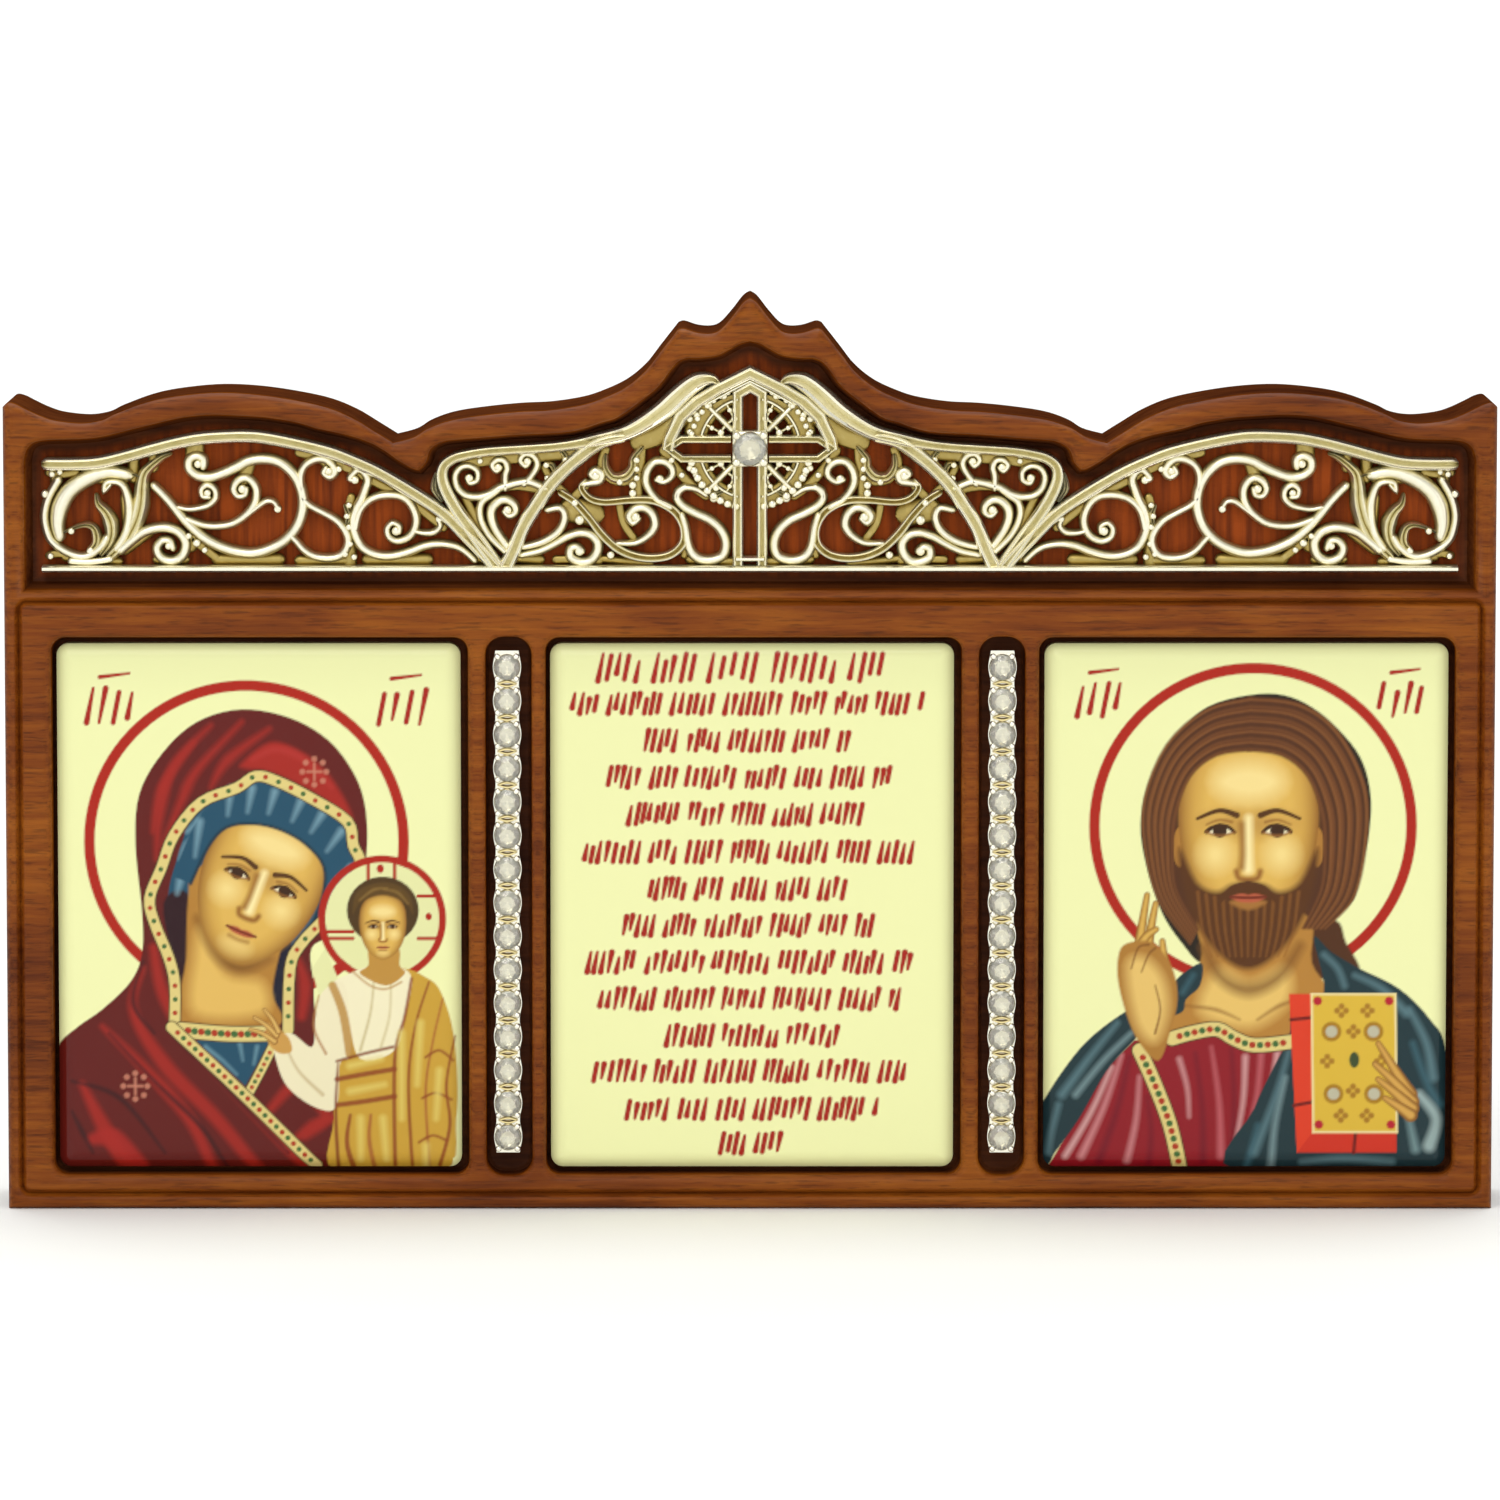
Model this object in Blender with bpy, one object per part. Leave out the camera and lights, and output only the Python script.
"""A small wooden panel icon with a pierced silver crest, three plaques and two strips of stones.

Units are metres, +Z is up, the front faces -Y, and the origin is under the middle of the foot.
The board carries everything: the crest lies in a deep upper pocket, and below it three domed
plaques and two strips of set stones lie in pockets of their own. Shapes on the front are drawn on
a sheet of small squares, with only the left half of each pair drawn and the right half mirrored.
"""

import math
from collections import Counter

import bmesh
import bpy
import numpy as np
from mathutils import Vector
from mathutils.geometry import delaunay_2d_cdt

# Drawing sheet
SQUARE = 0.0000625          # one square of the sheet is 1/16 mm
SHEET_MIDDLE = 750          # the column of the panel's middle line
SHEET_FOOT = 1213           # the row of the panel's flat foot

# Driving dimensions
THICKNESS = 0.0090          # the whole board, front to back
TOUCHING_GAP = 0.0003       # between pieces that touch
FRONT_CHAMFER = 0.0005
BACK_CHAMFER = 0.0003
UPPER_POCKET_DEPTH = 0.0026
PLAQUE_POCKET_DEPTH = 0.0020
SLOT_DEPTH = 0.0022
RIM_GROOVE_DEPTH = 0.0004
WEB_HEIGHT = 0.0005         # the crest's low web between ribs
RIB_HEIGHT = 0.0009         # its scrolls
RAIL_HEIGHT = 0.0013        # its rails, arch, gable and cross
STRIP_HEIGHT = 0.0013
STONE_COUNT = 15
STONE_RADIUS = 0.00078
CROSS_STONE_RADIUS = 0.0010
STONE_SIDES = 8
TABLE_SHARE = 0.55          # a stone's table, crown height and pavilion depth over its radius
CROWN_SHARE = 0.32
PAVILION_SHARE = 0.80
FLAT_BACK_SHARE = 0.8
FLAT_STONE_GIRDLE = 0.0002
SEAT_SHARE = 0.85
SEAT_CLEARANCE = 0.0002     # along a stone's axis, between it and its setting

CURVE_STEPS = 6             # samples between two drawn points
OUTLINE_TOLERANCE = 0.9     # squares that the board's outline may cut off a curve
RIB_TOLERANCE = 3.2         # squares that a crest rib may cut off a curve

# The board's outline, left half, each curve from corner to corner
SIDE_COLUMN = 6.5
HORN_TO_DIP = [(6.5, 408), (30, 411), (60, 421.5), (85, 424), (110, 419), (150, 403), (220, 393.5),
               (300, 401.5), (355, 419), (395, 443.5)]
DIP_TO_SHOULDER = [(395, 443.5), (430, 429), (485, 416), (550, 411), (600, 400.5), (640, 378),
                   (660, 354), (680, 330.5)]
SHOULDER_TO_TIP = [(680, 330.5), (697, 334), (715, 333.5), (732, 318), (750, 299.5)]
CHAMFER_SQUARES = 10

# The upper pocket's mouth, left half
POCKET_FOOT = (28, 590)
POCKET_LEFT_ARCH = [(27, 462), (31, 449), (45, 442), (83, 440.5), (134, 431), (180, 420),
                    (220, 416), (270, 419), (320, 430), (371, 444), (402, 463), (421, 471)]
POCKET_SHOULDER = [(421, 471), (430, 457), (445, 443), (485, 439), (572, 433), (620, 418),
                   (660, 387), (671, 372), (686, 360)]
POCKET_PEAK = [(686, 360), (705, 359), (725, 353.5), (750, 340)]
POCKET_SLOPE_SQUARES = 9

# The lower field: (left, top, right, bottom) on the sheet
RIM_GROOVE = (21, 602, 1479, 1197)
RIM_GROOVE_HALF_WIDTH = 3.5
POCKET_MIDDLES = {"left": 261, "centre": 753.5, "right": 1246}
POCKET_SQUARES = (415, 540)
PLAQUE_MIDDLES = {"left": 259.5, "centre": 752, "right": 1245.5}
SLOT_MIDDLES = {"left": 509, "right": 1001.5}
SLOT_SQUARES = (46, 542)
STRIP_MIDDLES = {"left": 507.5, "right": 1002}
FIELD_MIDDLE_ROW = 908
POCKET_FLARE_SQUARES = 6
FLARE_DEPTH = 0.0004
POCKET_CORNER = 14
PLAQUE_SQUARES = (403, 527)
PLAQUE_CORNER = 12
PLAQUE_DOME = [(0, 0.0011), (5, 0.0014), (15, 0.0016)]    # (squares in from the edge, height)
STRIP_SQUARES = (27, 504)
STRIP_MIDDLE_ROW = 904
STONE_TOP_ROW = 668
STONE_PITCH_SQUARES = 33.8

# The crest's levels
LEVELS = WEB, RIB, RAIL = 0, 1, 2

# The crest's ribs, left half: level, width at start, middle and end, drawn points, volute eye
CREST_RIBS = {
    "wing_rail": (RAIL, (9, 9, 10), [(50, 466), (100, 464.5), (150, 452), (200, 440.5), (250, 438),
                                     (300, 446), (350, 461), (400, 486), (445, 516), (475, 546),
                                     (497, 570)], None),
    "centre_band": (RAIL, (12, 9, 12), [(497, 570), (472, 532), (450, 498), (443, 480), (449, 465),
                                        (490, 454), (550, 449.5), (600, 442), (640, 430),
                                        (668, 411), (692, 389), (710, 384)], None),
    "great_arch": (RAIL, (13, 13, 13), [(507, 570), (523, 530), (550, 488), (580, 459),
                                        (612, 443)], None),
    "outer_scroll": (RIB, (6, 10, 9), [(135, 478), (105, 475), (72, 492), (59, 520),
                                       (61, 536)], None),
    "outer_thin_rib": (RIB, (5, 6, 5), [(60, 482), (46, 515), (58, 549), (86, 558),
                                        (108, 540)], None),
    "ground_leaf": (RIB, (5, 8, 6), [(68, 533), (88, 527), (98, 540), (90, 554)], None),
    "middle_blade": (RIB, (4, 8, 12), [(98, 495), (112, 524), (103, 560)], None),
    "curled_leaf": (RIB, (4, 6, 6), [(108, 492), (121, 484), (131, 510), (118, 550)], None),
    "big_blade": (RIB, (5, 14, 9), [(170, 456), (147, 474), (143, 500), (132, 535),
                                    (112, 566)], None),
    "leaf_scroll": (RIB, (5, 6, 5), [(118, 556), (145, 535), (172, 530)], (170, 548)),
    "big_circle": (RIB, (6, 7, 6), [(152, 484), (172, 505), (198, 534), (225, 550), (255, 555),
                                    (285, 543), (303, 515), (300, 485), (280, 464), (250, 463),
                                    (225, 475), (203, 478)], (200, 467)),
    "inner_scroll": (RIB, (5, 5, 5), [(190, 520), (220, 528), (248, 516), (258, 495)], (246, 492)),
    "small_scroll": (RIB, (4, 5, 4), [(178, 507), (200, 510), (216, 500)], (207, 498)),
    "upper_curl": (RIB, (5, 5, 5), [(303, 496), (302, 476), (325, 461)], (326, 471)),
    "lower_loop": (RIB, (5, 6, 5), [(300, 498), (325, 515), (346, 533), (343, 555), (318, 559),
                                    (293, 540)], None),
    "tall_scroll": (RIB, (5, 6, 6), [(352, 484), (360, 474), (367, 485), (355, 520), (366, 551),
                                     (395, 558), (440, 546), (475, 562)], None),
    "round_scroll": (RIB, (5, 6, 5), [(357, 530), (367, 505), (390, 497), (412, 507), (417, 525),
                                      (405, 541)], (399, 531)),
    "short_hook": (RIB, (4, 5, 5), [(412, 534), (430, 535), (441, 524)], None),
    "arch_curl": (RIB, (5, 5, 5), [(548, 491), (515, 485), (475, 499), (458, 488)], (469, 480)),
    "first_bud": (RIB, (4, 5, 4), [(506, 488), (509, 472)], (500, 469)),
    "second_bud": (RIB, (4, 5, 4), [(527, 486), (538, 466)], (529, 462)),
    "outer_stem": (RIB, (6, 6, 5), [(508, 560), (485, 528), (483, 503), (506, 489)], None),
    "inner_stem": (RIB, (8, 8, 6), [(508, 550), (494, 524), (498, 505)], (508, 511)),
    "arch_loop": (RIB, (5, 6, 6), [(550, 508), (566, 518), (555, 538), (520, 551)], None),
    "foot_scroll": (RIB, (5, 6, 6), [(519, 557), (555, 547), (580, 536), (598, 547)], (581, 550)),
    "main_scroll": (RIB, (8, 7, 6), [(560, 493), (588, 518), (617, 550), (650, 560), (676, 552),
                                     (684, 530), (668, 508), (640, 502), (604, 503),
                                     (584, 493)], (594, 484)),
    "inner_hook": (RIB, (6, 6, 6), [(616, 546), (645, 541), (656, 523)], (642, 524)),
    "top_curl": (RIB, (5, 6, 8), [(640, 448), (633, 470), (617, 479), (606, 458)], None),
    "right_curl": (RIB, (6, 6, 5), [(675, 512), (650, 493), (649, 470)], (661, 474)),
    "teardrop": (RIB, (6, 6, 6), [(704, 494), (680, 494), (690, 512), (718, 530), (722, 556),
                                  (697, 559), (685, 535), (682, 514)], None),
    "halo_spoke_upper": (RIB, (12, 12, 12), [(740, 440), (704, 404)], None),
    "halo_spoke_lower": (RIB, (12, 12, 12), [(740, 460), (704, 496)], None),
    "cross_side_rail": (RAIL, (10, 10, 10), [(738, 570), (738, 400), (751, 389)], None),
    "cross_arm_upper": (RAIL, (8, 8, 8), [(742, 440.5), (688, 440.5), (669, 451)], None),
    "cross_arm_lower": (RAIL, (8, 8, 8), [(742, 460.5), (688, 460.5), (669, 449)], None),
    "left_tab": (WEB, (14, 14, 14), [(52, 476), (98, 478)], None),
    "left_foot_tab": (WEB, (12, 12, 12), [(64, 562), (122, 562)], None),
    "blade_tab": (WEB, (14, 14, 14), [(128, 470), (158, 466)], None),
    "circle_top_tab": (WEB, (14, 14, 14), [(196, 446), (205, 462)], None),
    "circle_foot_tab": (WEB, (14, 14, 14), [(232, 562), (285, 562)], None),
    "loop_foot_tab": (WEB, (12, 12, 12), [(300, 565), (470, 565)], None),
    "loop_side_tab": (WEB, (14, 14, 14), [(350, 540), (352, 566)], None),
    "curl_top_tab": (WEB, (16, 16, 16), [(312, 462), (350, 470)], None),
    "rail_tab": (WEB, (16, 16, 16), [(372, 482), (432, 516)], None),
    "arch_tab": (WEB, (20, 20, 20), [(575, 500), (592, 530)], None),
    "scroll_top_tab": (WEB, (14, 14, 14), [(642, 452), (640, 500)], None),
}

# The crest's ribs that cross the middle line, drawn whole
BASE_BAR = ((44, 570.5), (1456, 570.5), 9)
GABLE_HALF = [(750, 372), (717, 388), (695, 404), (680, 420), (669, 440), (669, 452)]
GABLE_WIDTH = 8
CROSS_FOOT_BAR = ((736, 561), (764, 561), 6)
STONE_BLOCK = ((732, 450), (768, 450), 36)
CROSS_MIDDLE = (750, 450)
HALO_RADIUS = 60
HALO_WIDTH = 13
HALO_SIDES = 24
VOLUTE_TURN = math.radians(300)
VOLUTE_EYE_RADIUS = 4.5
BEAD_SIDES = 6
MERGE_SQUARES = 0.005       # corners closer than this become one
MOST_PASSES = 12            # times that the crest's plan may be brought to whole squares
STRAIGHT_SQUARES = 0.25     # squares that a corner of the plan may lie off a straight edge
PINCH_FILL = 2              # squares from the middle to the corner of the metal put on a pinch
SMALLEST_PIECE = 0.02       # squares of area below which a piece of a rib is left out


def clear_scene():
    for obj in list(bpy.data.objects):
        bpy.data.objects.remove(obj)


def surface(name, colour, roughness, metallic=0.0, clear=0.0):
    material = bpy.data.materials.new(name)
    material.use_nodes = True
    shader = material.node_tree.nodes["Principled BSDF"]
    shader.inputs["Base Color"].default_value = (*colour, 1.0)
    shader.inputs["Roughness"].default_value = roughness
    shader.inputs["Metallic"].default_value = metallic
    shader.inputs["Transmission Weight"].default_value = clear
    return material


# Drawing helpers: curves are lists of (column, row) on the sheet

def smooth_curve(points, steps=CURVE_STEPS):
    """A curve through the drawn points, with its tangents from each point's neighbours."""
    padded = [points[0], *points, points[-1]]
    curve = []
    for before, start, end, after in zip(padded, padded[1:], padded[2:], padded[3:]):
        for step in range(steps):
            t = step / steps
            curve.append(tuple(
                0.5 * (2 * b + (c - a) * t + (2 * a - 5 * b + 4 * c - d) * t * t
                       + (3 * b - a - 3 * c + d) * t ** 3)
                for a, b, c, d in zip(before, start, end, after)))
    curve.append(tuple(points[-1]))
    return curve


def thin_curve(points, tolerance):
    """The same curve with only the points that its shape needs."""
    start = Vector(points[0])
    end = Vector(points[-1])
    along = end - start
    if len(points) < 3:
        return list(points)

    def distance(point):
        offset = Vector(point) - start
        if along.length < 1e-6:
            return offset.length
        return abs(along.cross(offset)) / along.length

    farthest = max(range(1, len(points) - 1), key=lambda index: distance(points[index]))
    if distance(points[farthest]) <= tolerance:
        return [points[0], points[-1]]
    first = thin_curve(points[:farthest + 1], tolerance)
    return first[:-1] + thin_curve(points[farthest:], tolerance)


def drawn_curve(points, tolerance=OUTLINE_TOLERANCE):
    return thin_curve(smooth_curve(points), tolerance)


def mirror_column(column):
    return 2 * SHEET_MIDDLE - column


def mirrored(points):
    return [(mirror_column(column), row) for column, row in points]


def closed_from_half(half):
    """A closed outline from its left half, which ends on the middle line at its last point."""
    return half + mirrored(half[-2::-1])


def board_outline():
    half = [(SIDE_COLUMN, SHEET_FOOT)]
    for curve in (HORN_TO_DIP, DIP_TO_SHOULDER, SHOULDER_TO_TIP):
        half += drawn_curve(curve)[:-1]
    half.append(SHOULDER_TO_TIP[-1])
    return closed_from_half(half)


def upper_pocket_outline():
    half = [POCKET_FOOT]
    for curve in (POCKET_LEFT_ARCH, POCKET_SHOULDER, POCKET_PEAK):
        half += drawn_curve(curve)[:-1]
    half.append(POCKET_PEAK[-1])
    return closed_from_half(half)


def rounded_rectangle(left, top, right, bottom, radius, corner_steps=3):
    """Clockwise on the sheet from the bottom left corner."""
    corners = ((left + radius, bottom - radius, 90), (left + radius, top + radius, 180),
               (right - radius, top + radius, 270), (right - radius, bottom - radius, 360))
    loop = []
    for column, row, start_angle in corners:
        for step in range(corner_steps + 1):
            angle = math.radians(start_angle + 90 * step / corner_steps)
            loop.append((column + radius * math.cos(angle), row + radius * math.sin(angle)))
    return loop


def rounded_box(middle_column, middle_row, size, radius):
    half_width, half_height = (side / 2 for side in size)
    return rounded_rectangle(middle_column - half_width, middle_row - half_height,
                             middle_column + half_width, middle_row + half_height, radius)


def inset(loop, distance):
    """The loop moved towards its inside, square to each side, with mitred corners."""
    moved = []
    for before, here, after in zip(loop[-1:] + loop[:-1], loop, loop[1:] + loop[:1]):
        into = (Vector(here) - Vector(before)).normalized()
        out = (Vector(after) - Vector(here)).normalized()
        normal_in = Vector((-into.y, into.x))
        normal_out = Vector((-out.y, out.x))
        mitre = (normal_in + normal_out) / (1 + normal_in.dot(normal_out))
        moved.append((here[0] + mitre.x * distance, here[1] + mitre.y * distance))
    return moved


def place(point, depth):
    """A sheet point as a place on the panel, depth metres behind its front plane."""
    column, row = point
    return Vector(((column - SHEET_MIDDLE) * SQUARE, depth - THICKNESS / 2,
                   (SHEET_FOOT - row) * SQUARE))


# Solid helpers

def add_loft(mesh, rings):
    """One closed body through rings of equal length, each (loop, depth), capped at both ends."""
    loops = [[mesh.verts.new(place(point, depth)) for point in loop] for loop, depth in rings]
    faces = [mesh.faces.new(loops[0]), mesh.faces.new(reversed(loops[-1]))]
    for front, back in zip(loops, loops[1:]):
        for index in range(len(front)):
            other = (index + 1) % len(front)
            faces.append(mesh.faces.new((front[index], back[index], back[other], front[other])))
    bmesh.ops.recalc_face_normals(mesh, faces=faces)


def finish_object(name, mesh, material=None, sharp_degrees=30):
    data = bpy.data.meshes.new(name)
    mesh.to_mesh(data)
    mesh.free()
    data.shade_smooth()
    data.set_sharp_from_angle(angle=math.radians(sharp_degrees))
    obj = bpy.data.objects.new(name, data)
    bpy.context.collection.objects.link(obj)
    if material is not None:
        data.materials.append(material)
    return obj


def cut_with(obj, cutter):
    cutter.hide_render = True
    cutter.display_type = "WIRE"
    modifier = obj.modifiers.new("cut", "BOOLEAN")
    modifier.operation = "DIFFERENCE"
    modifier.solver = "EXACT"
    modifier.object = cutter


def add_pocket_cutter(mesh, mouth, depth, slope, flare=0.0):
    """A pocket's space: an outward flare at the mouth, then walls that lean in by slope."""
    above = -0.001
    rings = [(inset(mouth, -flare), above), (inset(mouth, -flare), 0.0)]
    if flare:
        rings.append((mouth, FLARE_DEPTH))
    rings.append((inset(mouth, slope), depth))
    add_loft(mesh, rings)


def add_groove_cutter(mesh, rectangle, half_width, depth):
    """A V groove that runs round a rectangle."""
    middle = rounded_rectangle(*rectangle, POCKET_CORNER / 2, corner_steps=2)
    profile = [(half_width, 0.0), (half_width, -depth), (-half_width, -depth), (-half_width, 0.0),
               (0.0, depth)]
    loops = [[mesh.verts.new(place(point, level)) for point in inset(middle, across)]
             for across, level in profile]
    faces = []
    for loop, following in zip(loops, loops[1:] + loops[:1]):
        for index in range(len(loop)):
            other = (index + 1) % len(loop)
            faces.append(mesh.faces.new((loop[index], following[index], following[other],
                                         loop[other])))
    bmesh.ops.recalc_face_normals(mesh, faces=faces)


def add_turned(mesh, centre, profile, sides):
    """A closed body turned about an axis along Y; profile rows are (radius, depth), front first.

    A row of radius 0 is a point, and any other first or last row is a flat face.
    """
    loops = []
    for radius, depth in profile:
        count = sides if radius > 0 else 1
        loops.append([
            mesh.verts.new(centre + Vector((radius * math.cos(math.tau * i / sides), depth,
                                            radius * math.sin(math.tau * i / sides))))
            for i in range(count)])
    faces = [mesh.faces.new(loop) for loop in (loops[0], loops[-1]) if len(loop) > 1]
    for front, back in zip(loops, loops[1:]):
        for index in range(sides):
            other = (index + 1) % sides
            if len(back) == 1:
                corners = (front[index], back[0], front[other])
            else:
                corners = (front[index], back[index], back[other], front[other])
            faces.append(mesh.faces.new(corners))
    bmesh.ops.recalc_face_normals(mesh, faces=faces)


def crown_profile(radius):
    """A round cut stone's front half: a flat table and a sloping crown down to the girdle."""
    return [(radius * TABLE_SHARE, -radius * CROWN_SHARE), (radius, 0.0)]


def brilliant_profile(radius):
    """A stone with a pointed back, whose girdle is at depth 0."""
    return crown_profile(radius) + [(0.0, radius * PAVILION_SHARE)]


def flat_backed_profile(radius):
    """A stone for a flat setting, with its back at depth 0."""
    girdle = [(edge, depth - FLAT_STONE_GIRDLE) for edge, depth in crown_profile(radius)]
    return girdle + [(radius * FLAT_BACK_SHARE, 0.0)]


def seat_profile(radius):
    """The space that the stone's pavilion lies in, wider than it by the touching gap."""
    wall = radius * SEAT_SHARE
    return [(wall, -SEAT_CLEARANCE), (wall, 0.0), (0.0, wall * PAVILION_SHARE)]


# Board

def make_board(material):
    outline = board_outline()
    front = inset(outline, CHAMFER_SQUARES)
    back = inset(outline, BACK_CHAMFER / SQUARE)
    body = bmesh.new()
    add_loft(body, [(front, 0.0), (outline, FRONT_CHAMFER), (outline, THICKNESS - BACK_CHAMFER),
                    (back, THICKNESS)])
    board = finish_object("board", body, material)

    pockets = bmesh.new()
    add_pocket_cutter(pockets, upper_pocket_outline(), UPPER_POCKET_DEPTH, POCKET_SLOPE_SQUARES)
    for middle in POCKET_MIDDLES.values():
        mouth = rounded_box(middle, FIELD_MIDDLE_ROW, POCKET_SQUARES, POCKET_CORNER)
        add_pocket_cutter(pockets, mouth, PLAQUE_POCKET_DEPTH, 0, POCKET_FLARE_SQUARES)
    for middle in SLOT_MIDDLES.values():
        mouth = rounded_box(middle, FIELD_MIDDLE_ROW, SLOT_SQUARES, SLOT_SQUARES[0] * 0.4)
        add_pocket_cutter(pockets, mouth, SLOT_DEPTH, 0, POCKET_FLARE_SQUARES / 2)
    add_groove_cutter(pockets, RIM_GROOVE, RIM_GROOVE_HALF_WIDTH, RIM_GROOVE_DEPTH)
    cut_with(board, finish_object("pocket_cutter", pockets))
    return board


# Crest

def volute(path, eye):
    """A spiral that carries the path on round the eye and tightens to it."""
    last = Vector(path[-1])
    middle = Vector(eye)
    arm = last - middle
    heading = last - Vector(path[-2])
    turn = math.copysign(VOLUTE_TURN, arm.cross(heading))
    steps = 14
    points = []
    for step in range(1, steps + 1):
        share = step / steps
        radius = arm.length * (1 - share) + VOLUTE_EYE_RADIUS * 0.9 * share
        angle = math.atan2(arm.y, arm.x) + turn * share
        points.append((middle.x + radius * math.cos(angle), middle.y + radius * math.sin(angle)))
    return points


def ribbon(path, widths):
    """Triangles along a path, with the width blended from start to middle to end."""
    start_width, middle_width, end_width = widths
    lengths = [0.0]
    for first, second in zip(path, path[1:]):
        lengths.append(lengths[-1] + (Vector(second) - Vector(first)).length)
    sides = []
    for index, point in enumerate(path):
        before = Vector(path[max(index - 1, 0)])
        after = Vector(path[min(index + 1, len(path) - 1)])
        along = (after - before).normalized()
        across = Vector((-along.y, along.x))
        share = lengths[index] / lengths[-1]
        if share < 0.5:
            width = start_width + (middle_width - start_width) * share * 2
        else:
            width = middle_width + (end_width - middle_width) * (share * 2 - 1)
        here = Vector(point)
        sides.append((here + across * width / 2, here - across * width / 2))
    triangles = []
    for (a_left, a_right), (b_left, b_right) in zip(sides, sides[1:]):
        triangles += [(a_left, b_left, b_right), (a_left, b_right, a_right)]
    return triangles


def bead(middle, radius, sides=BEAD_SIDES):
    return tuple(Vector((middle[0] + radius * math.cos(math.tau * i / sides + 0.3),
                         middle[1] + radius * math.sin(math.tau * i / sides + 0.3)))
                 for i in range(sides))


def crest_pieces():
    """Every flat piece of the crest as (level, corners on the sheet)."""
    pieces = []
    for level, widths, points, eye in CREST_RIBS.values():
        path = smooth_curve(points) if len(points) > 2 else list(points)
        end_bead = path[-1]
        if eye is not None:
            path += volute(path, eye)
            end_bead = path[-1]
        path = thin_curve(path, RIB_TOLERANCE)
        for way in (path, mirrored(path)):
            pieces += [(level, corners) for corners in ribbon(way, widths)]
        if level == RIB:
            for middle in (end_bead, mirrored([end_bead])[0]):
                pieces.append((RIB, bead(middle, VOLUTE_EYE_RADIUS)))
    for start, end, width in (BASE_BAR, CROSS_FOOT_BAR, STONE_BLOCK):
        pieces += [(RAIL, corners) for corners in ribbon([start, end], (width, width, width))]
    gable = GABLE_HALF[::-1] + mirrored(GABLE_HALF[1:])
    pieces += [(RAIL, corners) for corners in ribbon(gable, (GABLE_WIDTH,) * 3)]
    halo = [(CROSS_MIDDLE[0] + HALO_RADIUS * math.cos(math.tau * i / HALO_SIDES),
             CROSS_MIDDLE[1] + HALO_RADIUS * math.sin(math.tau * i / HALO_SIDES))
            for i in range(HALO_SIDES + 1)]
    pieces += [(RIB, corners) for corners in ribbon(halo, (HALO_WIDTH,) * 3)]
    return pieces


def doubled_area(corners):
    return sum(Vector(a).cross(Vector(b)) for a, b in zip(corners, corners[1:] + corners[:1]))


def laid_over(pieces):
    """The pieces laid over each other and split where they cross: corners and (level, face)."""
    corners = []
    outlines = []
    levels = []
    for level, piece in pieces:
        area = doubled_area(piece)
        if abs(area) < SMALLEST_PIECE:
            continue
        outlines.append(list(range(len(corners), len(corners) + len(piece))))
        corners += piece if area > 0 else piece[::-1]
        levels.append(level)
    points, _, faces, _, _, origins = delaunay_2d_cdt(corners, [], outlines, 1, MERGE_SQUARES, True)
    plan = [(max(levels[index] for index in origin), face)
            for face, origin in zip(faces, origins) if origin]
    return points, plan


def rim_edges(plan, chosen):
    """The edges round the faces whose level is chosen, each as a sorted pair of corners."""
    uses = Counter(tuple(sorted(edge)) for level, face in plan if chosen(level)
                   for edge in zip(face, face[1:] + face[:1]))
    return sorted(edge for edge, count in uses.items() if count == 1)


def pinched_corners(plan):
    """(level, corner) wherever an area at that level or above touches itself at one corner only."""
    pinched = []
    for lowest in LEVELS:
        ends = Counter(corner for edge in rim_edges(plan, lambda level: level >= lowest)
                       for corner in edge)
        pinched += [(lowest, corner) for corner, count in sorted(ends.items()) if count > 2]
    return pinched


def merged_plan(pieces):
    """The same with every corner on a whole square, so with no slivers, and with no pinched corner."""
    for _ in range(MOST_PASSES):
        points, plan = laid_over(pieces)
        snapped = [Vector((round(point.x), round(point.y))) for point in points]
        pinched = pinched_corners(plan)
        if not pinched and all((a - b).length < MERGE_SQUARES for a, b in zip(points, snapped)):
            break
        pieces = [(level, [snapped[index] for index in face]) for level, face in plan]
        for level, corner in pinched:
            across = Vector((PINCH_FILL, 0))
            down = Vector((0, PINCH_FILL))
            middle = snapped[corner]
            pieces.append((level, [middle - across, middle - down, middle + across, middle + down]))
    return points, plan


def straightened(points, edge_lists):
    """The edge lists without the corners at which nothing turns or branches."""
    neighbours = {}
    for start, end in {edge for edges in edge_lists for edge in edges}:
        neighbours.setdefault(start, set()).add(end)
        neighbours.setdefault(end, set()).add(start)
    for corner in sorted(neighbours):
        if len(neighbours[corner]) != 2:
            continue
        before, after = sorted(neighbours[corner])
        into = points[corner] - points[before]
        out = points[after] - points[corner]
        off_line = abs(into.cross(out)) / (points[after] - points[before]).length
        if off_line > STRAIGHT_SQUARES or after in neighbours[before] or into.dot(out) < 0:
            continue
        neighbours.pop(corner)
        neighbours[before] = neighbours[before] - {corner} | {after}
        neighbours[after] = neighbours[after] - {corner} | {before}
        for edges in edge_lists:
            if edges.intersection({(min(corner, before), max(corner, before))}):
                edges -= {(min(corner, end), max(corner, end)) for end in (before, after)}
                edges.add((min(before, after), max(before, after)))


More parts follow.
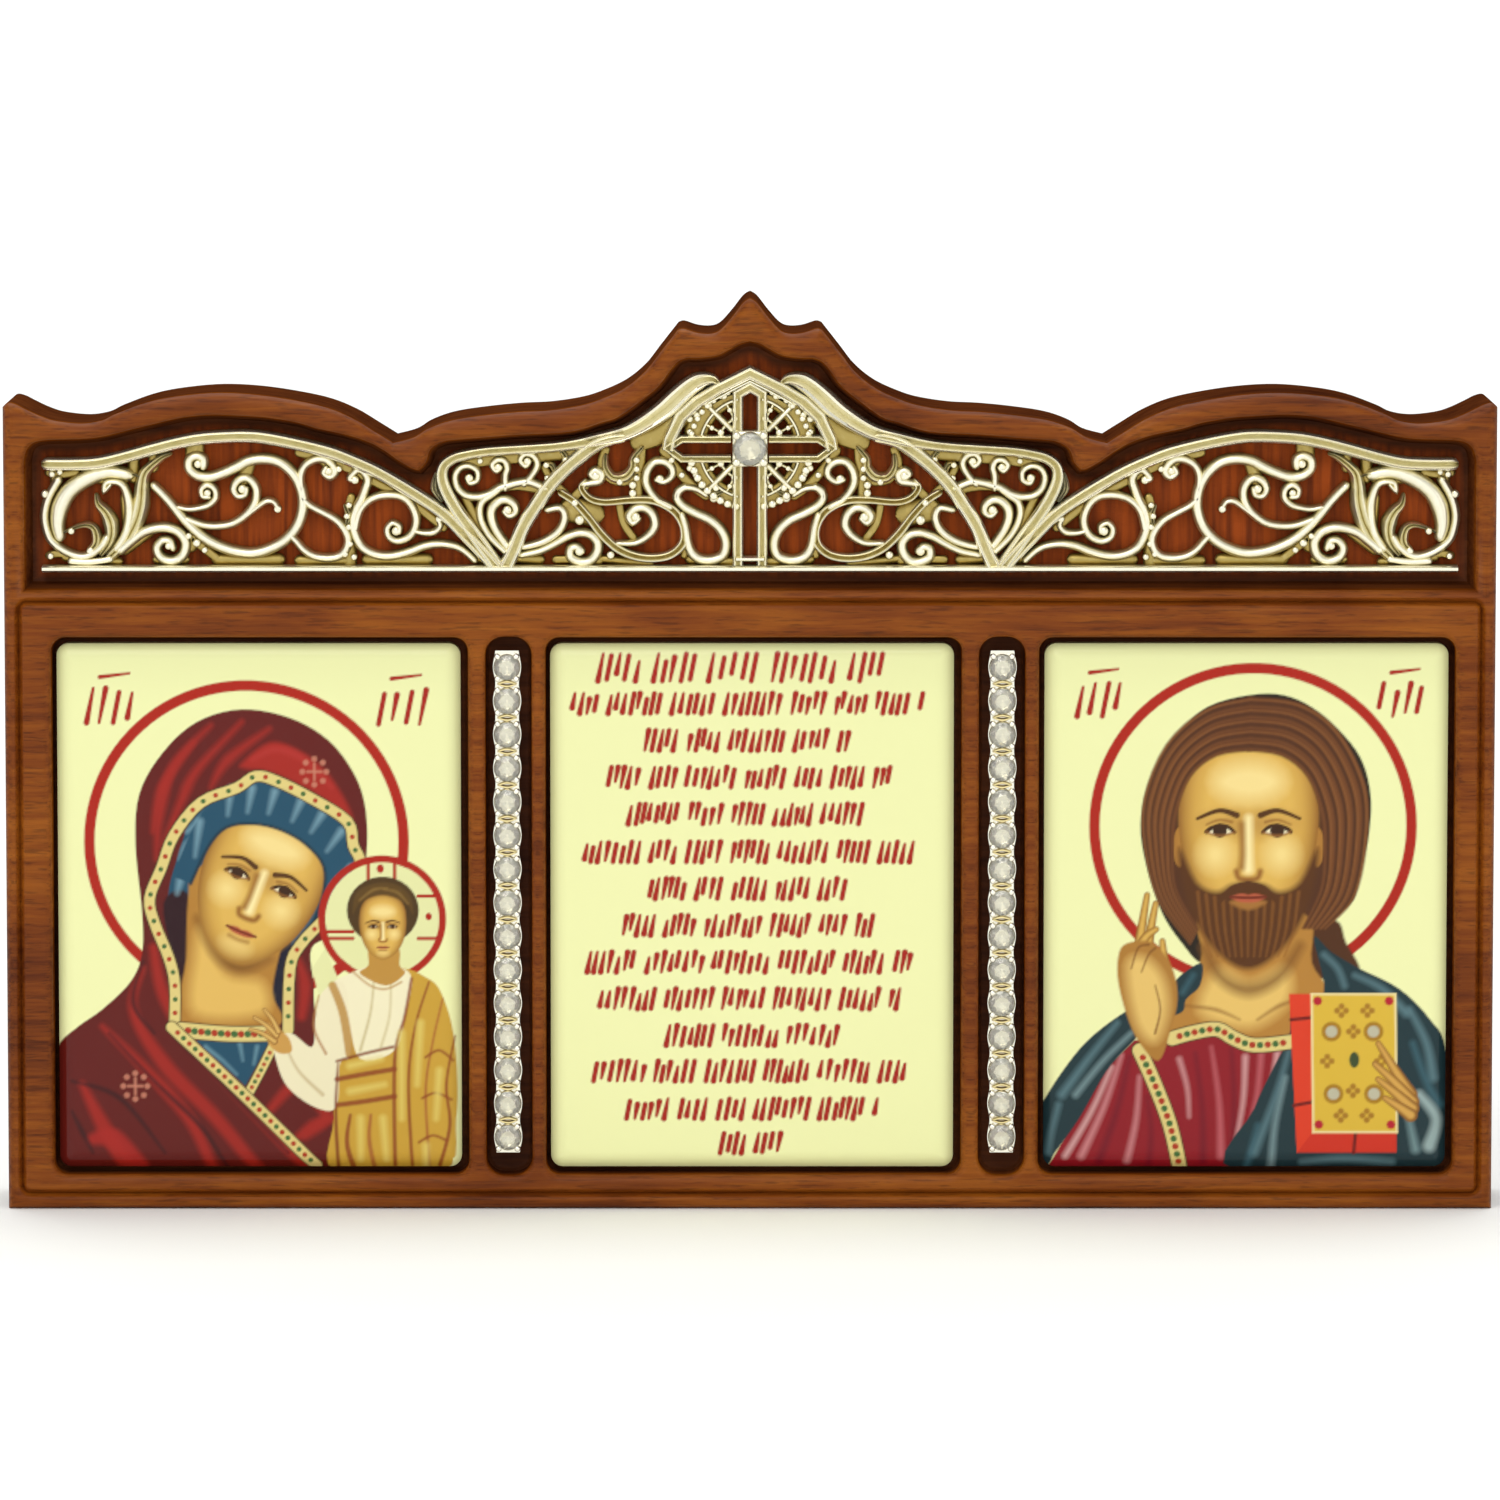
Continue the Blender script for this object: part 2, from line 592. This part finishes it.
def filled(points, edges):
    """Triangles inside a closed rim, on the rim's own corners."""
    corners = sorted({corner for edge in edges for corner in edge})
    number = {corner: index for index, corner in enumerate(corners)}
    rim = sorted(edges)
    fences = [(number[start], number[end]) for start, end in rim]
    _, _, triangles, origins, _, _ = delaunay_2d_cdt([points[corner] for corner in corners],
                                                     fences, [], 0, MERGE_SQUARES, True)
    starts = np.array([points[start][:] for start, _ in rim])
    ends = np.array([points[end][:] for _, end in rim])
    kept = []
    for triangle in triangles:
        own = [corners[origins[index][0]] for index in triangle]
        column, row = np.mean([points[corner][:] for corner in own], axis=0)
        crossed = (starts[:, 1] > row) != (ends[:, 1] > row)
        first, last = starts[crossed], ends[crossed]
        share = (row - first[:, 1]) / (last[:, 1] - first[:, 1])
        if np.count_nonzero(first[:, 0] + share * (last[:, 0] - first[:, 0]) > column) % 2:
            kept.append(own)
    return kept


def make_crest(material):
    """Flat areas at the web's, the ribs' and the rails' heights over one flat back, joined by walls."""
    points, plan = merged_plan(crest_pieces())
    heights = (0.0, WEB_HEIGHT, RIB_HEIGHT, RAIL_HEIGHT)
    rims = [set(rim_edges(plan, lambda level, lowest=lowest: level >= lowest)) for lowest in LEVELS]
    straightened(points, rims)
    spans = {}
    for step, edges in enumerate(rims):
        for edge in edges:
            low, _ = spans.get(edge, (step, step))
            spans[edge] = (low, step + 1)
    corners = {(corner, step) for edge, span in spans.items() for corner in edge for step in span}

    mesh = bmesh.new()
    back_depth = UPPER_POCKET_DEPTH - TOUCHING_GAP
    verts = {(corner, step): mesh.verts.new(place(points[corner], back_depth - heights[step]))
             for corner, step in sorted(corners)}
    for edge, (low, high) in sorted(spans.items()):
        start, end = edge
        up = [(end, step) for step in range(low, high + 1) if (end, step) in corners]
        down = [(start, step) for step in range(high, low - 1, -1) if (start, step) in corners]
        mesh.faces.new([verts[key] for key in up + down])
    for triangle in filled(points, rims[WEB]):
        mesh.faces.new([verts[corner, 0] for corner in triangle])
    for level in LEVELS:
        above = rims[level + 1] if level < RAIL else set()
        for triangle in filled(points, rims[level] ^ above):
            mesh.faces.new([verts[corner, level + 1] for corner in triangle])
    bmesh.ops.recalc_face_normals(mesh, faces=mesh.faces)
    return finish_object("silver_crest", mesh, material)


# Plaques, strips and stones

def make_plaque(name, middle_column, material):
    """A rounded slab whose rim curves up to a flat middle."""
    back_depth = PLAQUE_POCKET_DEPTH - TOUCHING_GAP
    rings = []
    for across, height in reversed(PLAQUE_DOME):
        size = [side - 2 * across for side in PLAQUE_SQUARES]
        corner = PLAQUE_CORNER * (1 - across / PLAQUE_DOME[-1][0] / 2)
        rings.append((rounded_box(middle_column, FIELD_MIDDLE_ROW, size, corner),
                      back_depth - height))
    rings.append((rings[-1][0], back_depth))
    mesh = bmesh.new()
    add_loft(mesh, rings)
    return finish_object(name, mesh, material, sharp_degrees=50)


def stone_centres(column):
    """The middles of one strip's stones, top to bottom, on the sheet."""
    return [(column, STONE_TOP_ROW + STONE_PITCH_SQUARES * index) for index in range(STONE_COUNT)]


def make_strip(name, column, material):
    edge = rounded_box(column, STRIP_MIDDLE_ROW, STRIP_SQUARES, STRIP_SQUARES[0] * 0.45)
    back_depth = SLOT_DEPTH - TOUCHING_GAP
    top_depth = back_depth - STRIP_HEIGHT
    mesh = bmesh.new()
    add_loft(mesh, [(inset(edge, 1.5), top_depth), (edge, top_depth + 1.5 * SQUARE),
                    (edge, back_depth)])
    strip = finish_object(name, mesh, material)
    seats = bmesh.new()
    for centre in stone_centres(column):
        add_turned(seats, place(centre, top_depth), seat_profile(STONE_RADIUS), STONE_SIDES)
    cut_with(strip, finish_object(name + "_seat_cutter", seats))
    return strip


def make_stone(name, centre, depth, profile, material):
    mesh = bmesh.new()
    add_turned(mesh, place(centre, depth - SEAT_CLEARANCE), profile, STONE_SIDES)
    return finish_object(name, mesh, material, sharp_degrees=5)


def make_all():
    clear_scene()
    wood = surface("stained_wood", (0.20, 0.075, 0.028), 0.35)
    silver = surface("cast_silver_alloy", (0.72, 0.66, 0.50), 0.3, metallic=1.0)
    gilt = surface("gilt_setting_metal", (0.60, 0.52, 0.28), 0.3, metallic=1.0)
    enamel = surface("glossy_cream_print", (0.72, 0.72, 0.34), 0.15)
    crystal = surface("clear_crystal", (1.0, 1.0, 1.0), 0.02, clear=1.0)

    make_board(wood)
    make_crest(silver)
    crest_top = UPPER_POCKET_DEPTH - TOUCHING_GAP - RAIL_HEIGHT
    make_stone("cross_stone", CROSS_MIDDLE, crest_top, flat_backed_profile(CROSS_STONE_RADIUS), crystal)
    for side, column in PLAQUE_MIDDLES.items():
        make_plaque("plaque_" + side, column, enamel)
    strip_top = SLOT_DEPTH - TOUCHING_GAP - STRIP_HEIGHT
    for side, column in STRIP_MIDDLES.items():
        make_strip("stone_strip_" + side, column, gilt)
        for number, centre in enumerate(stone_centres(column), start=1):
            make_stone(f"stone_{side}_{number:02d}", centre, strip_top,
                       brilliant_profile(STONE_RADIUS), crystal)


make_all()
